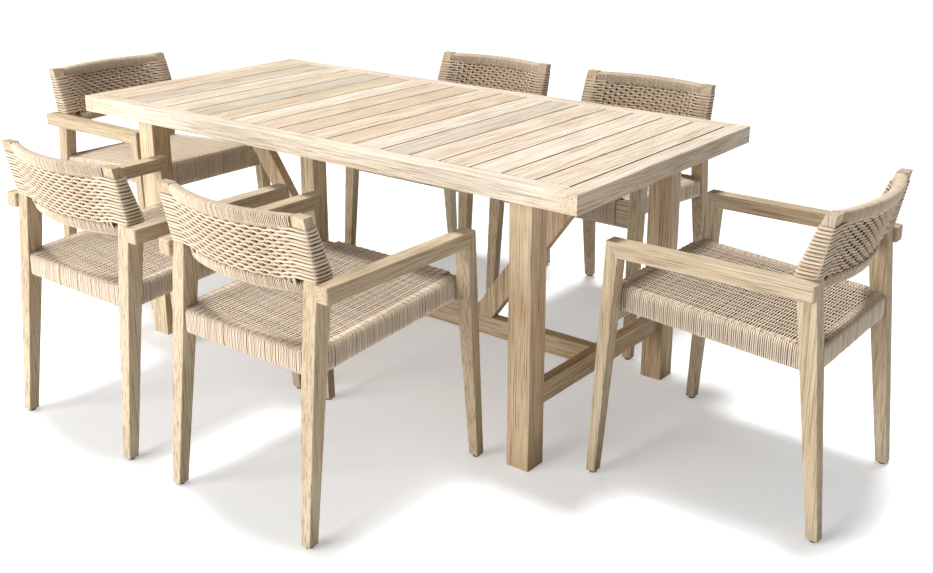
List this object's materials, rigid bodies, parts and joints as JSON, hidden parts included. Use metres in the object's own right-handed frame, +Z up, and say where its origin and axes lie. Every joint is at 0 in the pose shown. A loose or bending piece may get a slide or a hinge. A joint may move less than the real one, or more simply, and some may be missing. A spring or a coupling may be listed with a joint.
{
  "type": "patio dining set",
  "caption": "Slatted rectangular garden table on square legs with stretchers and sloping braces, set with armchairs that have woven cord seats and bowed woven backs.",
  "frame": {"origin": "on the floor under the middle of the table", "axes": "+X along the table to the right, +Y across it to the back, +Z up"},
  "size_m": [2.8864, 1.9264, 0.76],
  "materials": {
    "table_top_wood": "matt oiled",
    "table_frame_wood": "matt oiled",
    "chair_wood": "matt weathered",
    "woven_cord": "matt cord",
    "glide_plastic": "matt",
    "bolt_steel": "brushed"
  },
  "bodies": {
    "table": {"top_end_board_left": "table_top_wood", "top_end_board_right": "table_top_wood", "top_side_rail_front": "table_top_wood", "top_side_rail_back": "table_top_wood", "top_slats": "table_top_wood", "top_battens": "table_frame_wood", "table_legs": "table_frame_wood", "end_stretchers": "table_frame_wood", "long_stretcher": "table_frame_wood", "diagonal_braces": "table_frame_wood", "leg_bolts": "bolt_steel"},
    "front_left_chair": {"front_left_chair_front_legs": "chair_wood", "front_left_chair_arms": "chair_wood", "front_left_chair_rear_legs": "chair_wood", "front_left_chair_seat_rails": "chair_wood", "front_left_chair_back_rails": "chair_wood", "front_left_chair_seat_weave": "woven_cord", "front_left_chair_back_weave": "woven_cord", "front_left_chair_glides": "glide_plastic"},
    "front_right_chair": {"front_right_chair_front_legs": "chair_wood", "front_right_chair_arms": "chair_wood", "front_right_chair_rear_legs": "chair_wood", "front_right_chair_seat_rails": "chair_wood", "front_right_chair_back_rails": "chair_wood", "front_right_chair_seat_weave": "woven_cord", "front_right_chair_back_weave": "woven_cord", "front_right_chair_glides": "glide_plastic"},
    "right_end_chair": {"right_end_chair_front_legs": "chair_wood", "right_end_chair_arms": "chair_wood", "right_end_chair_rear_legs": "chair_wood", "right_end_chair_seat_rails": "chair_wood", "right_end_chair_back_rails": "chair_wood", "right_end_chair_seat_weave": "woven_cord", "right_end_chair_back_weave": "woven_cord", "right_end_chair_glides": "glide_plastic"},
    "left_end_chair": {"left_end_chair_front_legs": "chair_wood", "left_end_chair_arms": "chair_wood", "left_end_chair_rear_legs": "chair_wood", "left_end_chair_seat_rails": "chair_wood", "left_end_chair_back_rails": "chair_wood", "left_end_chair_seat_weave": "woven_cord", "left_end_chair_back_weave": "woven_cord", "left_end_chair_glides": "glide_plastic"},
    "back_left_chair": {"back_left_chair_front_legs": "chair_wood", "back_left_chair_arms": "chair_wood", "back_left_chair_rear_legs": "chair_wood", "back_left_chair_seat_rails": "chair_wood", "back_left_chair_back_rails": "chair_wood", "back_left_chair_seat_weave": "woven_cord", "back_left_chair_back_weave": "woven_cord", "back_left_chair_glides": "glide_plastic"},
    "back_right_chair": {"back_right_chair_front_legs": "chair_wood", "back_right_chair_arms": "chair_wood", "back_right_chair_rear_legs": "chair_wood", "back_right_chair_seat_rails": "chair_wood", "back_right_chair_back_rails": "chair_wood", "back_right_chair_seat_weave": "woven_cord", "back_right_chair_back_weave": "woven_cord", "back_right_chair_glides": "glide_plastic"}
  },
  "joints": [
    {"name": "front_left_chair_slide", "type": "slide", "parent": "table", "child": "front_left_chair", "axis": [0, -1, 0], "range_m": [-0.25, 0.45]},
    {"name": "front_right_chair_slide", "type": "slide", "parent": "table", "child": "front_right_chair", "axis": [0, -1, 0], "range_m": [-0.25, 0.45]},
    {"name": "right_end_chair_slide", "type": "slide", "parent": "table", "child": "right_end_chair", "axis": [1, 0, 0], "range_m": [-0.1, 0.45]},
    {"name": "left_end_chair_slide", "type": "slide", "parent": "table", "child": "left_end_chair", "axis": [-1, 0, 0], "range_m": [-0.1, 0.45]},
    {"name": "back_left_chair_slide", "type": "slide", "parent": "table", "child": "back_left_chair", "axis": [0, 1, 0], "range_m": [-0.25, 0.45]},
    {"name": "back_right_chair_slide", "type": "slide", "parent": "table", "child": "back_right_chair", "axis": [0, 1, 0], "range_m": [-0.25, 0.45]}
  ]
}
